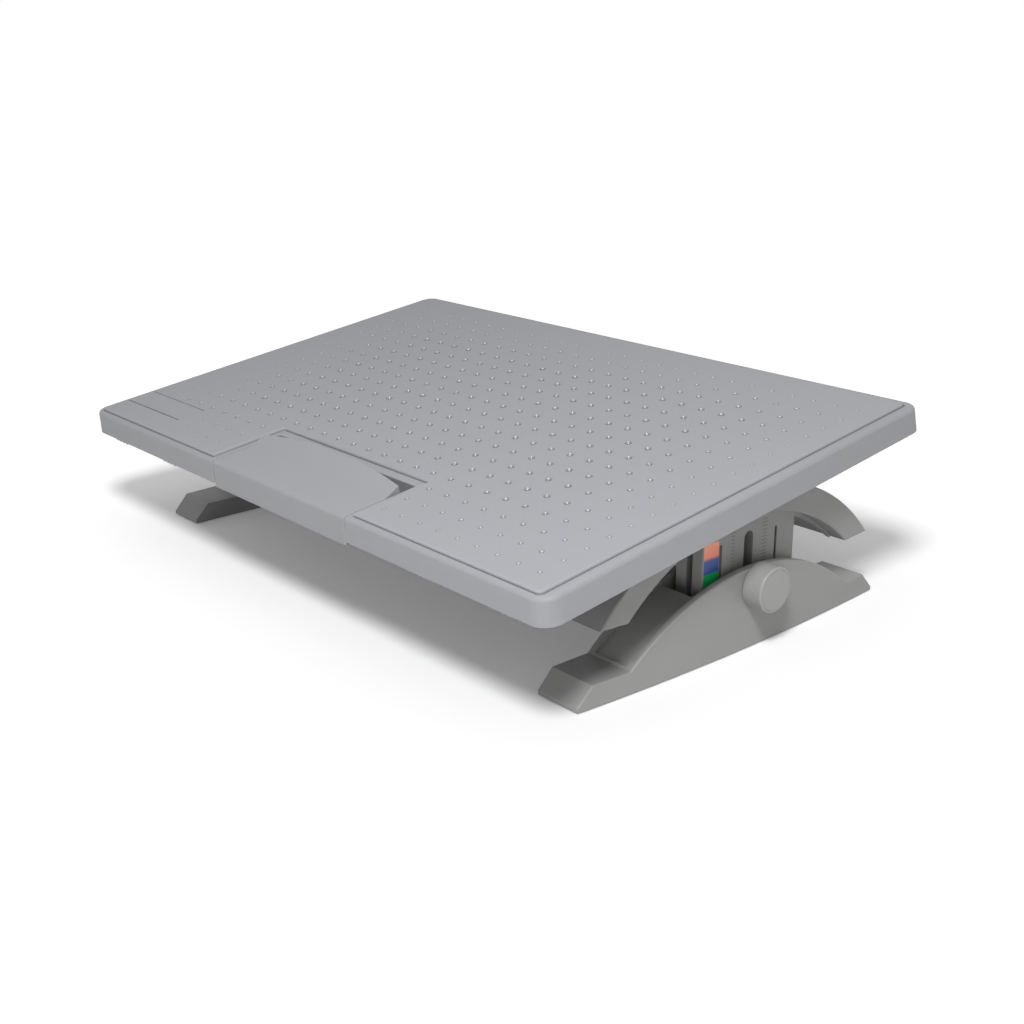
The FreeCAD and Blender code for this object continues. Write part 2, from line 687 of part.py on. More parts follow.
shelf_top = d.well_floor + d.well_wall
spring_room = d.rim_top - skin - shelf_top
springs = group("pedal_springs", [
    coil("return_a", d.return_radius, d.return_wire / 2, spring_room, d.return_turns,
         d.return_x, d.return_y, shelf_top),
    coil("return_b", d.return_radius, d.return_wire / 2, spring_room, d.return_turns,
         -d.return_x, d.return_y, shelf_top)])
on_platform(springs)
node(springs)

# Friction lock: housing under the platform
housing = new_body("lock_housing")
sk = outline(housing, "LockFlange", "XY_Plane", [
    box_loop(-d.housing_half, d.housing_front, d.housing_half, d.housing_rear)], flange_under,
    [(x, y, d.screw_radius + 0.3) for x, y in lock_spots]
    + [(0, d.lock_bolt_y, d.lock_bolt_radius + 0.3)])
pad(housing, sk, d.flange_thickness)
sk = outline(housing, "LockSaddle", "YZ_Plane", [
    box_loop(-d.saddle_half, d.jaw_split, d.saddle_half, flange_under)])
pad(housing, sk, d.jaw_half * 2, both=True)
cheek_in = d.jaw_half + d.cheek_gap
for side in (1, -1):
    low = cheek_in if side > 0 else -cheek_in - d.cheek_width
    sk = outline(housing, "LockCheek%s" % ("A" if side > 0 else "B"), "XY_Plane", [
        box_loop(low, d.housing_front, low + d.cheek_width, d.cheek_rear)], size(0))
    pad(housing, sk, flange_under)
sk = outline(housing, "LockBore", "YZ_Plane", [], None, [(0, 0, d.lining_radius)])
pocket(housing, sk, d.jaw_half * 4, both=True)
sk = outline(housing, "JawPinBore", "YZ_Plane", [], None,
             [(d.jaw_pin_y, d.jaw_pin_z, d.jaw_pin_radius + d.axle_fit)])
pocket(housing, sk, d.jaw_half * 4, both=True)
on_platform(housing)
node(housing)

# Jaw: hinged ahead of the axle, it closes round the axle from below
jaw = new_body("lock_jaw")
sk = outline(jaw, "JawSide", "YZ_Plane", [[
    (d.jaw_front, d.jaw_bottom), (d.jaw_tail, d.jaw_bottom), (d.jaw_tail, d.jaw_tail_top),
    (d.jaw_block, d.jaw_tail_top), (d.jaw_block, -d.jaw_split), (d.jaw_web, -d.jaw_split),
    (d.jaw_web, d.jaw_head), (d.jaw_front, d.jaw_head)]])
pad(jaw, sk, d.jaw_half * 2, both=True)
sk = outline(jaw, "JawBore", "YZ_Plane", [], None, [
    (0, 0, d.lining_radius), (d.jaw_pin_y, d.jaw_pin_z, d.jaw_pin_radius + d.axle_fit),
    (d.jaw_pin_y, d.jaw_pin_z - d.jaw_arm, d.rod_radius + d.rod_clearance)])
pocket(jaw, sk, d.jaw_half * 4, both=True)
slot_half = d.lock_bolt_radius + 0.5
sk = outline(jaw, "JawSlot", "XY_Plane", [[
    (-slot_half, d.lock_bolt_y), (slot_half, d.lock_bolt_y), (slot_half, d.lock_bolt_y + 2.2,
     slot_half), (-slot_half, d.lock_bolt_y + 2.2)]], size(0))
pocket(jaw, sk)
sk = outline(jaw, "JawSlotFront", "XY_Plane", [], size(0), [(0, d.lock_bolt_y, slot_half)])
pocket(jaw, sk)
on_platform(jaw)
node(jaw)

# Linings: two half shells round the axle
lining_in = d.axle_radius + d.lining_fit
lining_out = d.lining_radius - d.lining_fit
for name, low, high in (("lock_lining_upper", d.jaw_split, d.lining_radius + 1),
                        ("lock_lining_lower", -d.lining_radius - 1, -d.jaw_split)):
    ring = cut(name + "_ring",
               cylinder(name + "_out", lining_out, d.jaw_half * 2, -d.jaw_half, 0, 0),
               cylinder(name + "_in", lining_in, d.jaw_half * 2, -d.jaw_half, 0, 0))
    half = doc.addObject("Part::MultiCommon", name)
    half.Shapes = [ring, block(name + "_side", -d.jaw_half, d.jaw_half, -d.lining_radius - 1,
                               d.lining_radius + 1, low, high)]
    half.Label = name
    on_platform(half)
    node(half)

pin_reach = cheek_in + d.cheek_width
pin = disc_body("jaw_pin", d.jaw_pin_radius, d.jaw_pin_y, d.jaw_pin_z, -pin_reach,
                pin_reach * 2)
on_platform(pin)
node(pin)

# Spring bolt of the lock
spring_low = d.jaw_bottom - d.lock_spring_length
nut_height = size(4.0)
bolt = join("lock_bolt", [
    cylinder("lock_bolt_shank", d.lock_bolt_radius, mount_plane - spring_low + nut_height + 1,
             0, d.lock_bolt_y, spring_low - nut_height - 1, "Z"),
    cylinder("lock_bolt_head", d.lock_bolt_radius * 1.8, d.screw_head_height + 0.4,
             0, d.lock_bolt_y, mount_plane, "Z")])
on_platform(bolt)
node(bolt)
nut = cut("lock_nut", cylinder("lock_nut_body", d.lock_bolt_radius * 2.4, nut_height,
                               0, d.lock_bolt_y, spring_low - nut_height, "Z"),
          cylinder("lock_nut_bore", d.lock_bolt_radius + d.axle_fit, nut_height * 3,
                   0, d.lock_bolt_y, spring_low - nut_height * 2, "Z"))
on_platform(nut)
node(nut)
spring = group("lock_spring", [coil(
    "lock_spring_wire", d.lock_spring_radius, d.lock_spring_wire / 2, d.lock_spring_length,
    d.lock_spring_turns, size(0), d.lock_bolt_y, spring_low)])
on_platform(spring)
node(spring)

# Pull rod from the pedal's lever to the jaw
rod = doc.addObject("Part::Feature", "pull_rod")
corners = [
    FreeCAD.Vector(d.lever_x.value - d.lever_width.value, d.pivot_y.value,
                   d.pivot_z.value - d.lever_arm.value),
    FreeCAD.Vector(d.rod_x.value, d.pivot_y.value, d.pivot_z.value - d.lever_arm.value),
    FreeCAD.Vector(d.rod_x.value, d.jaw_pin_y.value, d.jaw_pin_z.value - d.jaw_arm.value),
    FreeCAD.Vector(-d.jaw_half.value / 2, d.jaw_pin_y.value,
                   d.jaw_pin_z.value - d.jaw_arm.value)]
edges = []
point = corners[0]
for index in (1, 2):
    into = (corners[index] - corners[index - 1]).normalize()
    out = (corners[index + 1] - corners[index]).normalize()
    half_turn = into.getAngle(out) / 2
    back_off = d.rod_bend.value * math.tan(half_turn)
    first = corners[index] - into * back_off
    last = corners[index] + out * back_off
    spread = (out - into).normalize()
    far = corners[index] + spread * (d.rod_bend.value / math.cos(half_turn) - d.rod_bend.value)
    edges.append(Part.makeLine(point, first))
    edges.append(Part.Arc(first, far, last).toShape())
    point = last
edges.append(Part.makeLine(point, corners[3]))
path = Part.Wire(edges)
start = (corners[1] - corners[0]).normalize()
section = Part.Wire([Part.makeCircle(d.rod_radius.value, corners[0], start)])
rod.Shape = path.makePipeShell([section], True, False)
rod.Label = "pull_rod"
on_platform(rod)
node(rod)


def screws(name, spots_xy, seat, bite, radius, head, head_height):
    """Screws driven upward: the head lies under the seat."""
    pieces = []
    for index, (x, y) in enumerate(spots_xy):
        label = "%s_%d" % (name, index)
        pieces.append(join(label, [
            cylinder(label + "_shank", radius, bite, x, y, seat, "Z"),
            cylinder(label + "_head", head, head_height, x, y, seat - head_height, "Z")]))
    return group(name, pieces)


thread = d.flange_thickness + d.screw_bite
item = screws("housing_screws", lock_spots, flange_under, thread,
              d.screw_radius, d.screw_head, d.screw_head_height)
on_platform(item)
node(item)
item = screws("bracket_screws", spots, flange_under, thread,
              d.screw_radius, d.screw_head, d.screw_head_height)
on_platform(item)
node(item)

# Bearing brackets and flanged bushes
bracket = new_body("axle_bracket_right")
sk = outline(bracket, "BracketSide", "YZ_Plane", [[
    (-d.bracket_half, d.bracket_bottom), (d.bracket_half, d.bracket_bottom),
    (d.bracket_half, flange_under), (d.bracket_flange, flange_under),
    (d.bracket_flange, mount_plane), (-d.bracket_flange, mount_plane),
    (-d.bracket_flange, flange_under), (-d.bracket_half, flange_under)]], d.bracket_inner)
pad(bracket, sk, d.bracket_outer - d.bracket_inner)
sk = outline(bracket, "BracketBore", "YZ_Plane", [], d.bracket_inner - 1,
             [(0, 0, d.bush_radius + d.axle_fit)])
pocket(bracket, sk, d.bracket_outer - d.bracket_inner + 5, up=True)
sk = outline(bracket, "BracketHoles", "XY_Plane", [], flange_under - 1,
             [(bracket_x, d.bracket_screw_y, d.screw_radius + 0.3),
              (bracket_x, -d.bracket_screw_y, d.screw_radius + 0.3)])
pocket(bracket, sk, d.flange_thickness + 3, up=True)
on_platform(bracket)
pair(bracket, "axle_bracket_left")

bush = cut("axle_bush_right", join("bush_body", [
    cylinder("bush_sleeve", d.bush_radius, d.bracket_outer - d.bracket_inner,
             d.bracket_inner, 0, 0),
    cylinder("bush_flange", d.bush_flange, d.bush_collar, d.bracket_outer, 0, 0)]),
    cylinder("bush_bore", d.axle_radius + d.axle_fit, d.tower_depth, d.bracket_inner - 5, 0, 0))
on_platform(bush)
pair(bush, "axle_bush_left")

# Cross axle, turned down nowhere, with a cross hole at each end for its screw
axle_middle = d.axis_height
holes = []
for side in (1, -1):
    holes.append(cylinder("axle_hole_%s" % ("a" if side > 0 else "b"),
                          d.axle_screw_radius + d.axle_fit, d.axle_radius + 3,
                          d.axle_screw_x * side, 0, axle_middle - d.axle_radius - 1, "Z"))
axle = cut("tilt_axle", cylinder("axle_bar", d.axle_radius, d.axle_half * 2, -d.axle_half,
                                 0, axle_middle), join("axle_holes", holes))
on_tower(axle)
node(axle)
item = screws("axle_screws", [(d.axle_screw_x, 0), (-d.axle_screw_x, 0)],
              d.under_crown + d.screw_head_height + 0.2,
              d.axle_radius + d.axis_height - d.under_crown - d.screw_head_height
              - d.axle_radius + 1.6,
              d.axle_screw_radius, d.axle_screw_head, d.screw_head_height)
on_tower(item)
node(item)

# Tower: hollow arch, open towards the middle, with a two-slab leg
tower = new_body("tower_right")
R = d.arch_radius
r = d.under_radius
tip_outer_z = circle_height(d.arch_crown, R, d.tip_outer)
tip_inner_z = circle_height(d.under_crown, r, d.tip_inner)
sk = outline(tower, "ArchBand", "YZ_Plane", [[
    (d.tip_inner, tip_inner_z), (d.tip_outer, tip_outer_z, R), (-d.tip_outer, tip_outer_z),
    (-d.tip_inner, tip_inner_z, -r)]], tower_inner)
base = pad(tower, sk, d.tower_depth)
face_x = d.tower_outer.value
break_edge = tower.newObject("PartDesign::Chamfer", "ArchEdge")
break_edge.Base = (base, edges_where(base.Shape, lambda p: abs(p.x - face_x) < 0.01))
bind(break_edge, "Size", d.tower_round)
skin_r = R - d.tower_skin
skin_u = r + d.tower_skin
mid_o = d.arch_crown - R
mid_u = d.under_crown - r
high_o = tip_outer_z + d.tower_skin
high_u = tip_inner_z + d.tower_skin
far_o = root(skin_r * skin_r - (high_o - mid_o) * (high_o - mid_o))
far_u = root(skin_u * skin_u - (high_u - mid_u) * (high_u - mid_u))
near_o = mid_o + root(skin_r * skin_r - d.tower_block * d.tower_block)
near_u = mid_u + root(skin_u * skin_u - d.tower_block * d.tower_block)
k = d.tower_block
sk = outline(tower, "ArchHollow", "YZ_Plane", [
    [(k, near_u, -skin_u), (far_u, high_u), (far_o, high_o, skin_r), (k, near_o)],
    [(-k, near_o, skin_r), (-far_o, high_o), (-far_u, high_u, -skin_u), (-k, near_u)]],
    tower_inner - 1)
pocket(tower, sk, d.tower_depth - d.tower_face + 1, up=True)
slab_in = d.leg_face - d.slab_thickness
sk = outline(tower, "OuterSlab", "YZ_Plane",
             [box_loop(d.leg_front, d.leg_bottom, d.leg_rear, d.leg_top)], slab_in)
base = pad(tower, sk, d.slab_thickness)
corner = edges_where(base.Shape, lambda p: abs(p.x - d.leg_face.value) < 0.01
                     and abs(p.y - d.leg_front.value) < 0.01)
fillet(tower, base, corner, d.leg_round)
second = slab_in - d.slab_gap - d.slab_thickness
sk = outline(tower, "InnerSlab", "YZ_Plane",
             [box_loop(d.leg_front, d.leg_bottom, d.leg_rear, d.leg_top)], second)
pad(tower, sk, d.slab_thickness)
fin_in = d.leg_rear - 1
sk = outline(tower, "RearFin", "YZ_Plane", [[
    (fin_in, circle_height(d.under_crown, r, fin_in) - d.fin_height, -r),
    (d.tip_inner, tip_inner_z - d.fin_tip), (d.tip_inner, tip_inner_z + 1, r),
    (fin_in, circle_height(d.under_crown + 1, r, fin_in))]], d.fin_x)
pad(tower, sk, d.fin_thickness)
half = d.slot_width / 2
sk = outline(tower, "ClampSlot", "YZ_Plane",
             [slot_loop(d.slot_y, half, d.slot_bottom, d.slot_top)], second - 1)
pocket(tower, sk, d.tower_depth, up=True)
slit = d.slit_width / 2
rows = []
for middle in (d.slit_front, d.slit_rear):
    rows.append([(middle - slit, d.leg_bottom - 5), (middle + slit, d.leg_bottom - 5),
                 (middle + slit, d.slit_top - slit, slit), (middle - slit, d.slit_top - slit)])
sk = outline(tower, "GuideSlits", "YZ_Plane", rows, slab_in - 1)
pocket(tower, sk, d.slab_thickness + 2, up=True)
sk = outline(tower, "LabelSeat", "YZ_Plane", [
    box_loop(d.label_front - d.wall_gap / 3, d.label_bottom - d.wall_gap / 3,
             d.label_rear + d.wall_gap / 3, d.label_top + d.wall_gap / 3)], d.leg_face + 1)
pocket(tower, sk, d.label_depth + 1)
sk = outline(tower, "AxleBore", "YZ_Plane", [], tower_inner - 1,
             [(0, d.axis_height, d.axle_radius + d.axle_fit)])
pocket(tower, sk, d.axle_half + 0.4 - tower_inner + 1, up=True)
sk = outline(tower, "AxleScrewBore", "XY_Plane", [], d.under_crown - 5,
             [(d.axle_screw_x, 0, d.axle_screw_radius + d.axle_fit)])
pocket(tower, sk, d.axis_height - d.under_crown + 5, up=True)
sk = outline(tower, "AxleScrewSeat", "XY_Plane", [], d.under_crown - 5,
             [(d.axle_screw_x, 0, d.axle_screw_head + 0.3)])
pocket(tower, sk, d.screw_head_height + 0.2 + 5, up=True)
on_tower(tower)
pair(tower, "tower_left")

# Three-band height label, let into the leg's face
label = new_body("height_label_right")
sk = outline(label, "LabelFace", "YZ_Plane", [
    box_loop(d.label_front, d.label_bottom, d.label_rear, d.label_top)],
    d.leg_face - d.label_depth)
pad(label, sk, d.label_thickness)
on_tower(label)
pair(label, "height_label_left")

# Foot: wedge ends, domed middle, two walls with the leg between them
foot = new_body("foot_right")
r = d.under_radius + d.dome_ease
dome_mid = d.dome_crown - r
dome_y = root(r * r - (d.foot_pad_top - dome_mid) * (d.foot_pad_top - dome_mid))
sk = outline(foot, "FootSide", "YZ_Plane", [[
    (-d.foot_half, d.foot_lift), (d.foot_half, d.foot_lift), (d.foot_half, d.foot_nose),
    (d.foot_flat, d.foot_pad_top), (d.dome_shift + dome_y, d.foot_pad_top, r),
    (d.dome_shift - dome_y, d.foot_pad_top), (-d.foot_flat, d.foot_pad_top),
    (-d.foot_half, d.foot_nose)]], d.foot_inner)
pad(foot, sk, d.foot_wide - d.foot_inner - 1)
sk = outline(foot, "FootBow", "XY_Plane", [[
    (d.foot_end_x, -d.foot_reach), (d.foot_wide, -d.foot_reach), (d.foot_wide, d.foot_reach),
    (d.foot_end_x, d.foot_reach, -d.foot_bow)]], d.dome_crown + 5)
base = pocket(foot, sk)
bow_mid = foot_face.value - d.foot_bow.value
names = []
for index, edge in enumerate(base.Shape.Edges, start=1):
    points = [v.Point for v in edge.Vertexes]
    points.append(edge.valueAt((edge.FirstParameter + edge.LastParameter) / 2))
    if all(abs(math.hypot(p.x - bow_mid, p.y) - d.foot_bow.value) < 0.05 for p in points):
        if all(p.z > d.foot_nose.value - 0.5 for p in points):
            names.append("Edge%d" % index)
base = fillet(foot, base, names, d.foot_round)
cavity_in = d.foot_inner + d.foot_inner_wall
cavity_out = d.leg_face + d.wall_gap
sk = outline(foot, "FootCavity", "XY_Plane", [
    box_loop(cavity_in, d.dome_shift - d.cavity_half,
             cavity_out, d.dome_shift + d.cavity_half)], d.dome_crown + 5)
pocket(foot, sk)


def rise(crown, y):
    """Height of the dome's circle with this crown at y."""
    return circle_height(crown, r, y - d.dome_shift)


top_crown = d.dome_crown - d.riser_drop
low_crown = top_crown - d.riser_skin
ledge_far = d.dome_shift + d.ledge_half
ledge_near = d.dome_shift - d.ledge_half
sk = outline(foot, "WallLedge", "YZ_Plane", [[
    (ledge_far, rise(top_crown, ledge_far), r), (ledge_near, rise(top_crown, ledge_near)),
    (ledge_near, d.dome_crown + 3), (ledge_far, d.dome_crown + 3)]], cavity_out - 1)
pocket(foot, sk, d.ledge_width + 1, up=True)
sk = outline(foot, "FrontRiser", "YZ_Plane", [[
    (d.riser_rear, rise(top_crown, d.riser_rear), r),
    (d.riser_front, rise(top_crown, d.riser_front)),
    (d.riser_front, rise(low_crown, d.riser_front), -r),
    (d.riser_rear, rise(low_crown, d.riser_rear))]], cavity_in - 0.5)
pad(foot, sk, cavity_out - cavity_in + 1)
rows = [box_loop(d.leg_front - d.guide_gap - d.guide_wall, d.foot_lift,
                 d.leg_front - d.guide_gap, d.guide_top),
        box_loop(d.leg_rear + d.guide_gap, d.foot_lift,
                 d.leg_rear + d.guide_gap + d.guide_wall, d.guide_top)]
sk = outline(foot, "GuideWebs", "YZ_Plane", rows, cavity_in - 0.5)
pad(foot, sk, cavity_out - cavity_in + 1)
t = slit - d.guide_gap
rows = []
for middle in (d.slit_front, d.slit_rear):
    rows.append(box_loop(middle - t, d.foot_lift, middle + t, d.guide_rib_top))
sk = outline(foot, "GuideRibs", "YZ_Plane", rows, cavity_out - d.guide_rib_reach)
pad(foot, sk, d.guide_rib_reach + 0.5)
sk = outline(foot, "BoltBore", "YZ_Plane", [], cavity_out - 1,
             [(d.slot_y, d.clamp_height, d.bolt_radius + d.bolt_hole)])
pocket(foot, sk, d.foot_wide - cavity_out, up=True)
sk = outline(foot, "AccessBore", "YZ_Plane", [], d.foot_inner - 1,
             [(d.slot_y, d.clamp_height, d.access_radius)])
pocket(foot, sk, d.foot_inner_wall + 2, up=True)
rows = [box_loop(d.pad_inner - d.pad_fit, d.pad_near - d.pad_fit,
                 d.pad_outer + d.pad_fit, d.pad_far + d.pad_fit),
        box_loop(d.pad_inner - d.pad_fit, -d.pad_far - d.pad_fit,
                 d.pad_outer + d.pad_fit, -d.pad_near + d.pad_fit)]
sk = outline(foot, "PadSeats", "XY_Plane", rows, size(0))
pocket(foot, sk, d.foot_lift + d.pad_seat, up=True)
on_tower(foot)
pair(foot, "foot_left")

pads = group("foot_pads_right", [
    block("pad_rear", d.pad_inner, d.pad_outer, d.pad_near, d.pad_far, 0,
          d.foot_lift + d.pad_seat),
    block("pad_front", d.pad_inner, d.pad_outer, -d.pad_far, -d.pad_near, 0,
          d.foot_lift + d.pad_seat)])
on_tower(pads)
pair(pads, "foot_pads_left")

# Clamp: bolt, plate behind the slot, washer and knob
plate_face = second - d.wall_gap
bolt = join("clamp_bolt_right", [
    cylinder("clamp_shank", d.bolt_radius, d.bolt_end - plate_face + d.clamp_plate + 1,
             plate_face - d.clamp_plate - 1, d.slot_y, d.clamp_height),
    cylinder("clamp_head", d.bolt_head, d.bolt_head_height,
             plate_face - d.clamp_plate - d.bolt_head_height, d.slot_y, d.clamp_height)])
on_tower(bolt)
pair(bolt, "clamp_bolt_left")
q = d.clamp_plate_half
plate = cut("clamp_plate_right", block(
    "plate_body", plate_face - d.clamp_plate, plate_face, d.slot_y - q, d.slot_y + q,
    d.clamp_height - q, d.clamp_height + q),
    cylinder("plate_bore", d.bolt_radius + d.axle_fit, d.clamp_plate * 3,
             plate_face - d.clamp_plate * 2, d.slot_y, d.clamp_height))
on_tower(plate)
pair(plate, "clamp_plate_left")
washer = cut("friction_washer_right", cylinder(
    "washer_body", d.washer_radius, d.washer_thickness, d.washer_base, d.slot_y,
    d.clamp_height), cylinder("washer_bore", d.bolt_radius + d.axle_fit, d.washer_thickness * 3,
                              d.washer_base - d.washer_thickness, d.slot_y, d.clamp_height))
on_tower(washer)
pair(washer, "friction_washer_left")

knob = new_body("height_knob_right")
seat = d.knob_base + d.knob_seat
recess = d.cap_radius + d.cap_gap
bore = d.bolt_radius + d.axle_fit
floor = d.knob_face - d.cap_thickness
sk = outline(knob, "KnobSection", "XY_Plane", [[
    (seat, bore), (d.bolt_end + 0.4, bore), (d.bolt_end + 0.4, 0), (floor, 0),
    (floor, recess), (d.knob_face, recess), (d.knob_face, d.knob_radius - d.knob_round,
     d.knob_round), (d.knob_face - d.knob_round, d.knob_radius), (d.knob_base, d.knob_radius),
    (d.knob_base, d.washer_radius + d.cap_gap), (seat, d.washer_radius + d.cap_gap)]])
turned = knob.newObject("PartDesign::Revolution", "KnobTurned")
turned.Profile = sk
turned.ReferenceAxis = (sk, ["H_Axis"])
turned.Angle = 360
place(knob, 0, d.axis_depth + d.slot_y, d.clamp_height)
pair(knob, "height_knob_left")
cap = disc_body("knob_cap_right", d.cap_radius, d.slot_y, d.clamp_height, floor,
                d.cap_thickness)
on_tower(cap)
pair(cap, "knob_cap_left")

doc.recompute()
faults = []
for item in doc.Objects:
    if "Invalid" in item.State or "Error" in item.State:
        faults.append("%s %s" % (item.Name, item.State))
for item in NODES:
    if item.Shape.isNull() or not item.Shape.isValid() or not item.Shape.Solids:
        faults.append("bad shape " + item.Label)
if faults:
    raise RuntimeError("; ".join(faults))
os.makedirs("parts", exist_ok=True)
low = [1e9, 1e9, 1e9]
high = [-1e9, -1e9, -1e9]
for item in NODES:
    item.Shape.exportStep("parts/%s.step" % item.Label)
    size_box = item.Shape.BoundBox
    low = [min(low[0], size_box.XMin), min(low[1], size_box.YMin), min(low[2], size_box.ZMin)]
    high = [max(high[0], size_box.XMax), max(high[1], size_box.YMax), max(high[2], size_box.ZMax)]
    print("%-24s %s solids %d" % (item.Label, [round(number, 2) for number in (
        size_box.XMin, size_box.XMax, size_box.YMin, size_box.YMax, size_box.ZMin,
        size_box.ZMax)], len(item.Shape.Solids)))
print("nodes", len(NODES), "low", low, "high", high)
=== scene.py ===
import bpy
import bmesh
import json
import math
from mathutils import Matrix, Vector


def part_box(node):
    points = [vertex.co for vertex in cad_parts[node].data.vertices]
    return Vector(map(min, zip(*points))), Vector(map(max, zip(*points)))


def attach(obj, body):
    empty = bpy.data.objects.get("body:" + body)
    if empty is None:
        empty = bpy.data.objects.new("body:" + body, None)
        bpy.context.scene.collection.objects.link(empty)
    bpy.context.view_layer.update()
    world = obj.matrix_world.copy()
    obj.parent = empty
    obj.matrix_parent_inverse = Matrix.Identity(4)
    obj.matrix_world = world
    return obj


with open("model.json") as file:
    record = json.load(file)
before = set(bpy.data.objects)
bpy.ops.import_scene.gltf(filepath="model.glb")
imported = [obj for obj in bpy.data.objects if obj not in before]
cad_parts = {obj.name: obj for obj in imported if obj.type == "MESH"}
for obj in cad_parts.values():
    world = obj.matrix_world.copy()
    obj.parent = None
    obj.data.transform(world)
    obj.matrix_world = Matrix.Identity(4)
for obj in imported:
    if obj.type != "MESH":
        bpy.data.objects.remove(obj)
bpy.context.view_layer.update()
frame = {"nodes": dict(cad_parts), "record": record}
nodes = frame["nodes"]

MM = 0.001
REST_TILT = math.radians(7.93)
AXLE_Y = 23.07
AXLE_Z = 104.5
AXLE = Vector((0.0, AXLE_Y, AXLE_Z)) * MM

# The platform's own frame: origin on the axle, turned by the rest tilt
BOARD = Matrix.Translation(AXLE) @ Matrix.Rotation(REST_TILT, 4, "X")


def from_srgb(code):
    """Linear colour of an sRGB hex code."""
    code = code.lstrip("#")
    channels = [int(code[i:i + 2], 16) / 255 for i in (0, 2, 4)]
    linear = [c / 12.92 if c <= 0.04045 else ((c + 0.055) / 1.055) ** 2.4 for c in channels]
    return (*linear, 1.0)


def add(tree, kind, links=None, values=None, **settings):
    """A node with its settings, its socket values and its incoming links."""
    made = tree.nodes.new(kind)
    for name, value in settings.items():
        setattr(made, name, value)
    for socket, value in (values or {}).items():
        made.inputs[socket].default_value = value
    for socket, source in (links or {}).items():
        tree.links.new(source, made.inputs[socket])
    return made


def start_material(name):
    """A new material with an empty node tree."""
    material = bpy.data.materials.new(name)
    material.use_nodes = True
    material.node_tree.nodes.clear()
    return material, material.node_tree


def moulded(name, light, dark, roughness, grain_mm, grain_height, cloud_mm, specular=0.5):
    """Injection-moulded plastic: spark-eroded grain as bump, faint flow clouds in the colour."""
    material, tree = start_material(name)
    where = add(tree, "ShaderNodeTexCoord").outputs["Object"]
    cloud = add(tree, "ShaderNodeTexNoise", {"Vector": where},
                {"Scale": 1000 / cloud_mm, "Detail": 3.0, "Roughness": 0.55})
    grain = add(tree, "ShaderNodeTexNoise", {"Vector": where},
                {"Scale": 1000 / grain_mm, "Detail": 2.0, "Roughness": 0.6})
    mix = add(tree, "ShaderNodeMix", {"Factor": cloud.outputs["Fac"]}, data_type="RGBA")
    mix.inputs["A"].default_value = from_srgb(dark)
    mix.inputs["B"].default_value = from_srgb(light)
    uneven = add(tree, "ShaderNodeMapRange", {"Value": cloud.outputs["Fac"]},
                 {"From Min": 0.3, "From Max": 0.7, "To Min": roughness - 0.04,
                  "To Max": roughness + 0.05})
    bump = add(tree, "ShaderNodeBump", {"Height": grain.outputs["Fac"]},
               {"Strength": 0.5, "Distance": grain_height * MM})
    shader = add(tree, "ShaderNodeBsdfPrincipled",
                 {"Base Color": mix.outputs["Result"], "Roughness": uneven.outputs["Result"],
                  "Normal": bump.outputs["Normal"]}, {"IOR": 1.49, "Specular IOR Level": specular})
    add(tree, "ShaderNodeOutputMaterial", {"Surface": shader.outputs["BSDF"]})
    return material


# Polypropylene shell: satin, with a fine moulded grain that softens its highlights
shell_pp = moulded("moulded_grey_polypropylene", "949598", "909093", 0.50, 0.9, 0.05, 60, 0.18)
# Tread surface: same plastic, rougher tool, a little cooler and flatter
tread_pp = moulded("tread_grey_polypropylene", "9C9DA1", "98999D", 0.66, 1.1, 0.07, 60, 0.08)
# Tread domes: same plastic, smooth, so that each one shows a small highlight. Their colour is a
# shade darker than the tread: painted shade that stands in for their dark flanks
dome_painted_shade_pp = moulded("polished_grey_pp_painted_shade", "7E7F82", "7A7B7E", 0.30, 0.8, 0.004, 60, 0.9)
# Towers and feet: ABS, slightly darker and warmer
support_abs = moulded("moulded_warm_grey_abs", "929291", "8D8D8C", 0.46, 0.9, 0.05, 50, 0.35)
# Knob: smooth moulded ABS
knob_abs = moulded("smooth_grey_abs", "979796", "929291", 0.40, 0.7, 0.02, 30, 0.4)
# Height ticks: grey ink
tick_ink = moulded("printed_grey_ink", "6C6867", "666261", 0.50, 0.5, 0.01, 10)
# Bearing bushes: natural acetal
acetal = moulded("natural_acetal", "E4E2DA", "DCDAD0", 0.35, 0.6, 0.02, 20)
# Foot pads and friction linings: dull black rubber
rubber = moulded("black_rubber", "1E1E1E", "171717", 0.75, 0.8, 0.08, 15)


def zinc_plate():
    """Zinc-plated steel: bluish grey metal with fine drawn streaks and uneven gloss."""
    material, tree = start_material("zinc_plated_steel")
    where = add(tree, "ShaderNodeTexCoord").outputs["Object"]
    stretch = add(tree, "ShaderNodeMapping", {"Vector": where})
    stretch.inputs["Scale"].default_value = (0.08, 1.0, 1.0)
    streak = add(tree, "ShaderNodeTexNoise", {"Vector": stretch.outputs["Vector"]},
                 {"Scale": 1000 / 0.5, "Detail": 3.0})
    gloss = add(tree, "ShaderNodeMapRange", {"Value": streak.outputs["Fac"]},
                {"To Min": 0.24, "To Max": 0.44})
    bump = add(tree, "ShaderNodeBump", {"Height": streak.outputs["Fac"]},
               {"Strength": 0.2, "Distance": 0.02 * MM})
    shader = add(tree, "ShaderNodeBsdfPrincipled",
                 {"Roughness": gloss.outputs["Result"], "Normal": bump.outputs["Normal"]},
                 {"Metallic": 1.0, "Base Color": from_srgb("B9BCC0")})
    add(tree, "ShaderNodeOutputMaterial", {"Surface": shader.outputs["BSDF"]})
    return material


steel = zinc_plate()


LABEL_LOW = 49.5
LABEL_HIGH = 81.1
GREEN = "10B25A"
# Blends between the bands: how far up the label, and the colour there
BAND_STOPS = ((0.30, GREEN), (0.36, "2C4E9E"), (0.63, "3B57A0"), (0.70, "FF8E78"))
CORAL_TOP = "FFA47C"


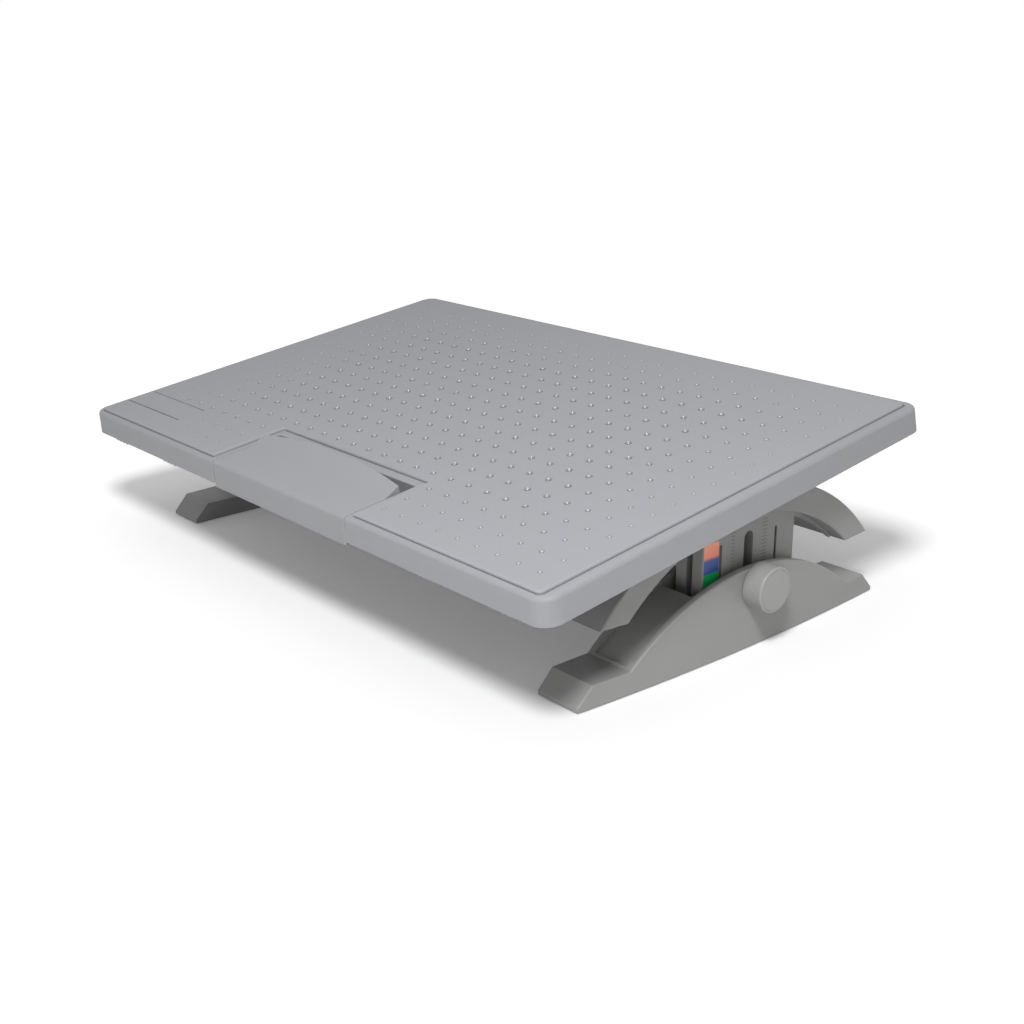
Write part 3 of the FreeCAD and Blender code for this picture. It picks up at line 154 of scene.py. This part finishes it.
def label_film():
    """Printed film: three plain bands one above the other, under a thin gloss laminate."""
    material, tree = start_material("printed_label_film")
    where = add(tree, "ShaderNodeTexCoord").outputs["Object"]
    height = add(tree, "ShaderNodeSeparateXYZ", {"Vector": where}).outputs["Z"]
    along = add(tree, "ShaderNodeMapRange", {"Value": height},
                {"From Min": LABEL_LOW * MM, "From Max": LABEL_HIGH * MM})
    ramp = add(tree, "ShaderNodeValToRGB", {"Fac": along.outputs["Result"]})
    bands = ramp.color_ramp
    bands.interpolation = "LINEAR"
    bands.elements[0].position = 0.0
    bands.elements[0].color = from_srgb(GREEN)
    bands.elements[1].position = 1.0
    bands.elements[1].color = from_srgb(CORAL_TOP)
    for place, code in BAND_STOPS:
        bands.elements.new(place).color = from_srgb(code)
    ink = add(tree, "ShaderNodeTexNoise", {"Vector": where}, {"Scale": 1000 / 0.8})
    wash = add(tree, "ShaderNodeMix", {"Factor": ink.outputs["Fac"],
                                       "A": ramp.outputs["Color"]}, data_type="RGBA",
               blend_type="MULTIPLY")
    wash.inputs["B"].default_value = from_srgb("F0F0F0")
    shader = add(tree, "ShaderNodeBsdfPrincipled", {"Base Color": wash.outputs["Result"]},
                 {"Roughness": 0.28, "Coat Weight": 0.3, "Coat Roughness": 0.15})
    add(tree, "ShaderNodeOutputMaterial", {"Surface": shader.outputs["BSDF"]})
    return material


film = label_film()

FINISH = {"shell_plastic": shell_pp, "mat_plastic": tread_pp, "support_plastic": support_abs,
          "knob_plastic": knob_abs, "label_film": film, "steel": steel, "lining": rubber,
          "bearing_plastic": acetal, "pad_rubber": rubber}
slot_of = {part["node"]: part["material_slot"] for part in frame["record"]["subparts"]}
for name, thing in nodes.items():
    finish = FINISH[slot_of[name]]
    if not thing.data.materials:
        thing.data.materials.append(finish)
    for index in range(len(thing.data.materials)):
        thing.data.materials[index] = finish


def mesh_piece(name, form, finish, body, smooth=False):
    """Makes an object at the origin from a bmesh whose points are already in place."""
    bmesh.ops.recalc_face_normals(form, faces=form.faces)
    data = bpy.data.meshes.new(name)
    form.to_mesh(data)
    form.free()
    for face in data.polygons:
        face.use_smooth = smooth
    data.materials.append(finish)
    thing = bpy.data.objects.new(name, data)
    bpy.context.scene.collection.objects.link(thing)
    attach(thing, body)
    return thing


# Tread domes: a square lattice of low domes, missing where the pedal and the bare patch are.
# They sink and shrink towards the mat's edges. Sizes are in mm, in the platform's own frame
PITCH = 19.05
COLUMN_ZERO = 158.4
ROW_ZERO = -124.85
COLUMNS = range(-21, 6)
ROWS = range(-3, 14)
PEDAL_COLUMNS = range(-13, -3)
# The bare patch's last column in each of its two rows
PATCH_END = {-2: -18, -3: -19}
SIDE_FADE, FRONT_FADE, BACK_FADE = 5, 5, 4
MAT_TOP = 24.26
DOME_SUNK = 0.05
EDGE_HEIGHT, FULL_HEIGHT = 0.25, 1.5
EDGE_RADIUS, FULL_RADIUS = 1.5, 2.5

# Points as near the cut as this count as on it, so that no sliver is left beside the rim
CUT_TOLERANCE = 1e-4


def order(point):
    """One number for a place on the unit dome. Sorting by it gives the same mesh each run."""
    return round(point.z, 3) * 100 + round(point.x, 3) * 10 + round(point.y, 3)


dome = bmesh.new()
bmesh.ops.create_uvsphere(dome, u_segments=12, v_segments=8, radius=1.0)
bmesh.ops.bisect_plane(dome, geom=dome.verts[:] + dome.edges[:] + dome.faces[:],
                       dist=CUT_TOLERANCE, plane_co=(0, 0, 0), plane_no=(0, 0, -1),
                       clear_outer=True)
rim = [edge for edge in dome.edges if edge.is_boundary]
bmesh.ops.holes_fill(dome, edges=rim)
dome.verts.sort(key=lambda point: order(point.co))
dome.faces.sort(key=lambda face: order(face.calc_center_median()))
single = bpy.data.meshes.new("single_dome")
dome.to_mesh(single)
dome.free()
field = bmesh.new()
for column in COLUMNS:
    for row in ROWS:
        at_pedal = row < 0 and column in PEDAL_COLUMNS
        on_patch = row in PATCH_END and column <= PATCH_END[row]
        if at_pedal or on_patch:
            continue
        x = column * PITCH + COLUMN_ZERO
        y = row * PITCH + ROW_ZERO
        inward = min((column - COLUMNS.start + 1) / SIDE_FADE, (COLUMNS.stop - column) / SIDE_FADE,
                     (row - ROWS.start + 1) / FRONT_FADE, (ROWS.stop - row) / BACK_FADE, 1.0)
        high = EDGE_HEIGHT + (FULL_HEIGHT - EDGE_HEIGHT) * inward
        wide = EDGE_RADIUS + (FULL_RADIUS - EDGE_RADIUS) * inward
        before = len(field.verts)
        field.from_mesh(single)
        field.verts.ensure_lookup_table()
        shape = (Matrix.Translation((x * MM, y * MM, (MAT_TOP - DOME_SUNK) * MM))
                 @ Matrix.Diagonal((wide * MM, wide * MM, high * MM, 1)))
        bmesh.ops.transform(field, matrix=shape, verts=field.verts[before:])
bmesh.ops.transform(field, matrix=BOARD, verts=field.verts)
mesh_piece("tread_domes", field, dome_painted_shade_pp, "platform", smooth=True)


def small_bar(form, low, high):
    """A plain rectangular bar between two corners, in metres."""
    start = len(form.verts)
    bmesh.ops.create_cube(form, size=1.0)
    form.verts.ensure_lookup_table()
    middle = (Vector(low) + Vector(high)) / 2
    spread = Vector(high) - Vector(low)
    shape = Matrix.Translation(middle) @ Matrix.Diagonal((*spread, 1))
    bmesh.ops.transform(form, matrix=shape, verts=form.verts[start:])


# Height scale: fine printed ticks in two columns on the leg's outer face, in mm. Each column's
# ends are measured from the axle along Y
TICK_COLUMNS = ((-7.9, -4.6), (24.2, 29.0))
TICK_COUNT = 14
TICK_FIRST = 53.0
TICK_STEP = 2.54
TICK_HALF_HEIGHT = 0.25
INK_HALF_DEPTH = 0.1
LABEL_SUNK = 0.1

leg_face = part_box("height_label_right")[1][0] + LABEL_SUNK * MM
for side, label in ((1, "right"), (-1, "left")):
    form = bmesh.new()
    for near, far in TICK_COLUMNS:
        for step in range(TICK_COUNT):
            z = TICK_FIRST + step * TICK_STEP
            x = sorted((side * (leg_face - INK_HALF_DEPTH * MM),
                        side * (leg_face + INK_HALF_DEPTH * MM)))
            y = ((near + AXLE_Y) * MM, (far + AXLE_Y) * MM)
            small_bar(form, (x[0], y[0], (z - TICK_HALF_HEIGHT) * MM),
                      (x[1], y[1], (z + TICK_HALF_HEIGHT) * MM))
    mesh_piece("height_scale_" + label, form, tick_ink, "towers")


# Floor, light and camera
LAMP = Vector((0.76, -0.72, 1.14))
LAMP_AIM = Vector((0.1, -0.05, 0.1))
LAMP_WATTS = 18.5
SKY = 0.40
FLOOR_GREY = 0.86
FLOOR_WHITE = 1.06
SHADOW_LIFT = 0.11
FLOOR_HALF = 60.0


def floor_material():
    """Plain pale floor that keeps the object's shadow. For camera, glossy and transmission rays
    its colour makes up for the lamp's fall-off, so that the lit floor shows evenly white."""
    material, tree = start_material("pale_floor")
    seen = add(tree, "ShaderNodeLightPath")
    first = add(tree, "ShaderNodeMath", {0: seen.outputs["Is Camera Ray"],
                                         1: seen.outputs["Is Glossy Ray"]}, operation="MAXIMUM")
    direct = add(tree, "ShaderNodeMath", {0: first.outputs["Value"],
                                          1: seen.outputs["Is Transmission Ray"]},
                 operation="MAXIMUM")
    where = add(tree, "ShaderNodeTexCoord").outputs["Object"]
    away = add(tree, "ShaderNodeVectorMath", {0: where}, {1: LAMP}, operation="DISTANCE")
    fourth = add(tree, "ShaderNodeMath", {0: away.outputs["Value"]}, {1: 4.0}, operation="POWER")
    along = add(tree, "ShaderNodeVectorMath", {0: where}, {1: LAMP}, operation="SUBTRACT")
    ahead = add(tree, "ShaderNodeVectorMath", {0: along.outputs["Vector"]},
                {1: (LAMP_AIM - LAMP).normalized() * LAMP_WATTS * LAMP.z / math.pi ** 2},
                operation="DOT_PRODUCT")
    lit = add(tree, "ShaderNodeMath", {0: ahead.outputs["Value"], 1: fourth.outputs["Value"]},
              operation="DIVIDE")
    ahead_only = add(tree, "ShaderNodeMath", {0: lit.outputs["Value"]}, {1: 0.0},
                     operation="MAXIMUM")
    level = add(tree, "ShaderNodeMath", {0: ahead_only.outputs["Value"]}, {1: SKY},
                operation="ADD")
    even = add(tree, "ShaderNodeMath", {1: level.outputs["Value"]},
               {0: FLOOR_WHITE - SHADOW_LIFT}, operation="DIVIDE")
    pale = add(tree, "ShaderNodeMix", {"Factor": direct.outputs["Value"],
                                       "B": even.outputs["Value"]}, {"A": FLOOR_GREY})
    matt = add(tree, "ShaderNodeBsdfDiffuse", {"Color": pale.outputs["Result"]})
    lift = add(tree, "ShaderNodeMath", {0: direct.outputs["Value"]}, {1: SHADOW_LIFT},
               operation="MULTIPLY")
    glow = add(tree, "ShaderNodeEmission", {"Strength": lift.outputs["Value"]})
    both = add(tree, "ShaderNodeAddShader", {0: matt.outputs["BSDF"], 1: glow.outputs["Emission"]})
    add(tree, "ShaderNodeOutputMaterial", {"Surface": both.outputs["Shader"]})
    return material


ground = bmesh.new()
bmesh.ops.create_grid(ground, x_segments=1, y_segments=1, size=FLOOR_HALF)
ground_mesh = bpy.data.meshes.new("floor")
ground.to_mesh(ground_mesh)
ground.free()
ground_mesh.materials.append(floor_material())
floor = bpy.data.objects.new("floor", ground_mesh)
bpy.context.scene.collection.objects.link(floor)

world = bpy.data.worlds.new("studio")
bpy.context.scene.world = world
world.use_nodes = True
sky = world.node_tree
sky.nodes.clear()
seen = add(sky, "ShaderNodeLightPath")
plain = add(sky, "ShaderNodeBackground", values={"Color": (1, 1, 1, 1), "Strength": SKY})
white = add(sky, "ShaderNodeBackground", values={"Color": (1, 1, 1, 1), "Strength": 1.0})
first = add(sky, "ShaderNodeMath", {0: seen.outputs["Is Camera Ray"],
                                    1: seen.outputs["Is Glossy Ray"]}, operation="MAXIMUM")
direct = add(sky, "ShaderNodeMath", {0: first.outputs["Value"],
                                     1: seen.outputs["Is Transmission Ray"]},
             operation="MAXIMUM")
chosen = add(sky, "ShaderNodeMixShader", {0: direct.outputs["Value"],
                                          1: plain.outputs["Background"],
                                          2: white.outputs["Background"]})
add(sky, "ShaderNodeOutputWorld", {"Surface": chosen.outputs["Shader"]})


def lamp(name, place, aim, **settings):
    """An area lamp at a place, turned towards its aim."""
    data = bpy.data.lights.new(name, "AREA")
    for setting, value in settings.items():
        setattr(data, setting, value)
    thing = bpy.data.objects.new(name, data)
    thing.location = place
    thing.rotation_euler = (Vector(aim) - Vector(place)).to_track_quat("-Z", "Y").to_euler()
    bpy.context.scene.collection.objects.link(thing)
    return thing


# The key stands high at the front right
lamp("key_softbox", LAMP, LAMP_AIM, shape="DISK", size=0.32, energy=LAMP_WATTS)
# A low fill at the front opens the shade under the platform
lamp("front_fill", (-0.3, -1.8, 0.35), (0.1, 0.0, 0.05), shape="DISK", size=1.0, energy=2.0)
# A softbox overhead shows in reflections only, and gives the domes their highlights
overhead = lamp("overhead_softbox", (-0.30, 0.28, 1.25), (0.15, 0.0, 0.12), shape="RECTANGLE",
                size=0.45, size_y=0.65, energy=9)
overhead.visible_diffuse = False

# The photograph's camera: its focal length in pixels of the square frame, its place and its axes
FOCAL_PIXELS = 1413.3
FRAME_PIXELS = 1024
SENSOR_MM = 36
CAMERA_PLACE = (0.8185, -0.67463, 0.4060)
camera_data = bpy.data.cameras.new("camera")
camera_data.lens = FOCAL_PIXELS / FRAME_PIXELS * SENSOR_MM
camera_data.sensor_width = SENSOR_MM
camera_data.clip_start = 0.01
camera_data.clip_end = 50
camera = bpy.data.objects.new("camera", camera_data)
right = Vector((0.65875, 0.75235, -0.00497))
down = Vector((0.24406, -0.21994, -0.94449))
ahead = Vector((-0.71168, 0.62097, -0.32850))
turn = Matrix((right, -down, -ahead)).transposed().to_4x4()
camera.matrix_world = Matrix.Translation(CAMERA_PLACE) @ turn
bpy.context.scene.collection.objects.link(camera)
bpy.context.scene.camera = camera
bpy.context.scene.view_settings.view_transform = "Standard"

bpy.context.view_layer.update()
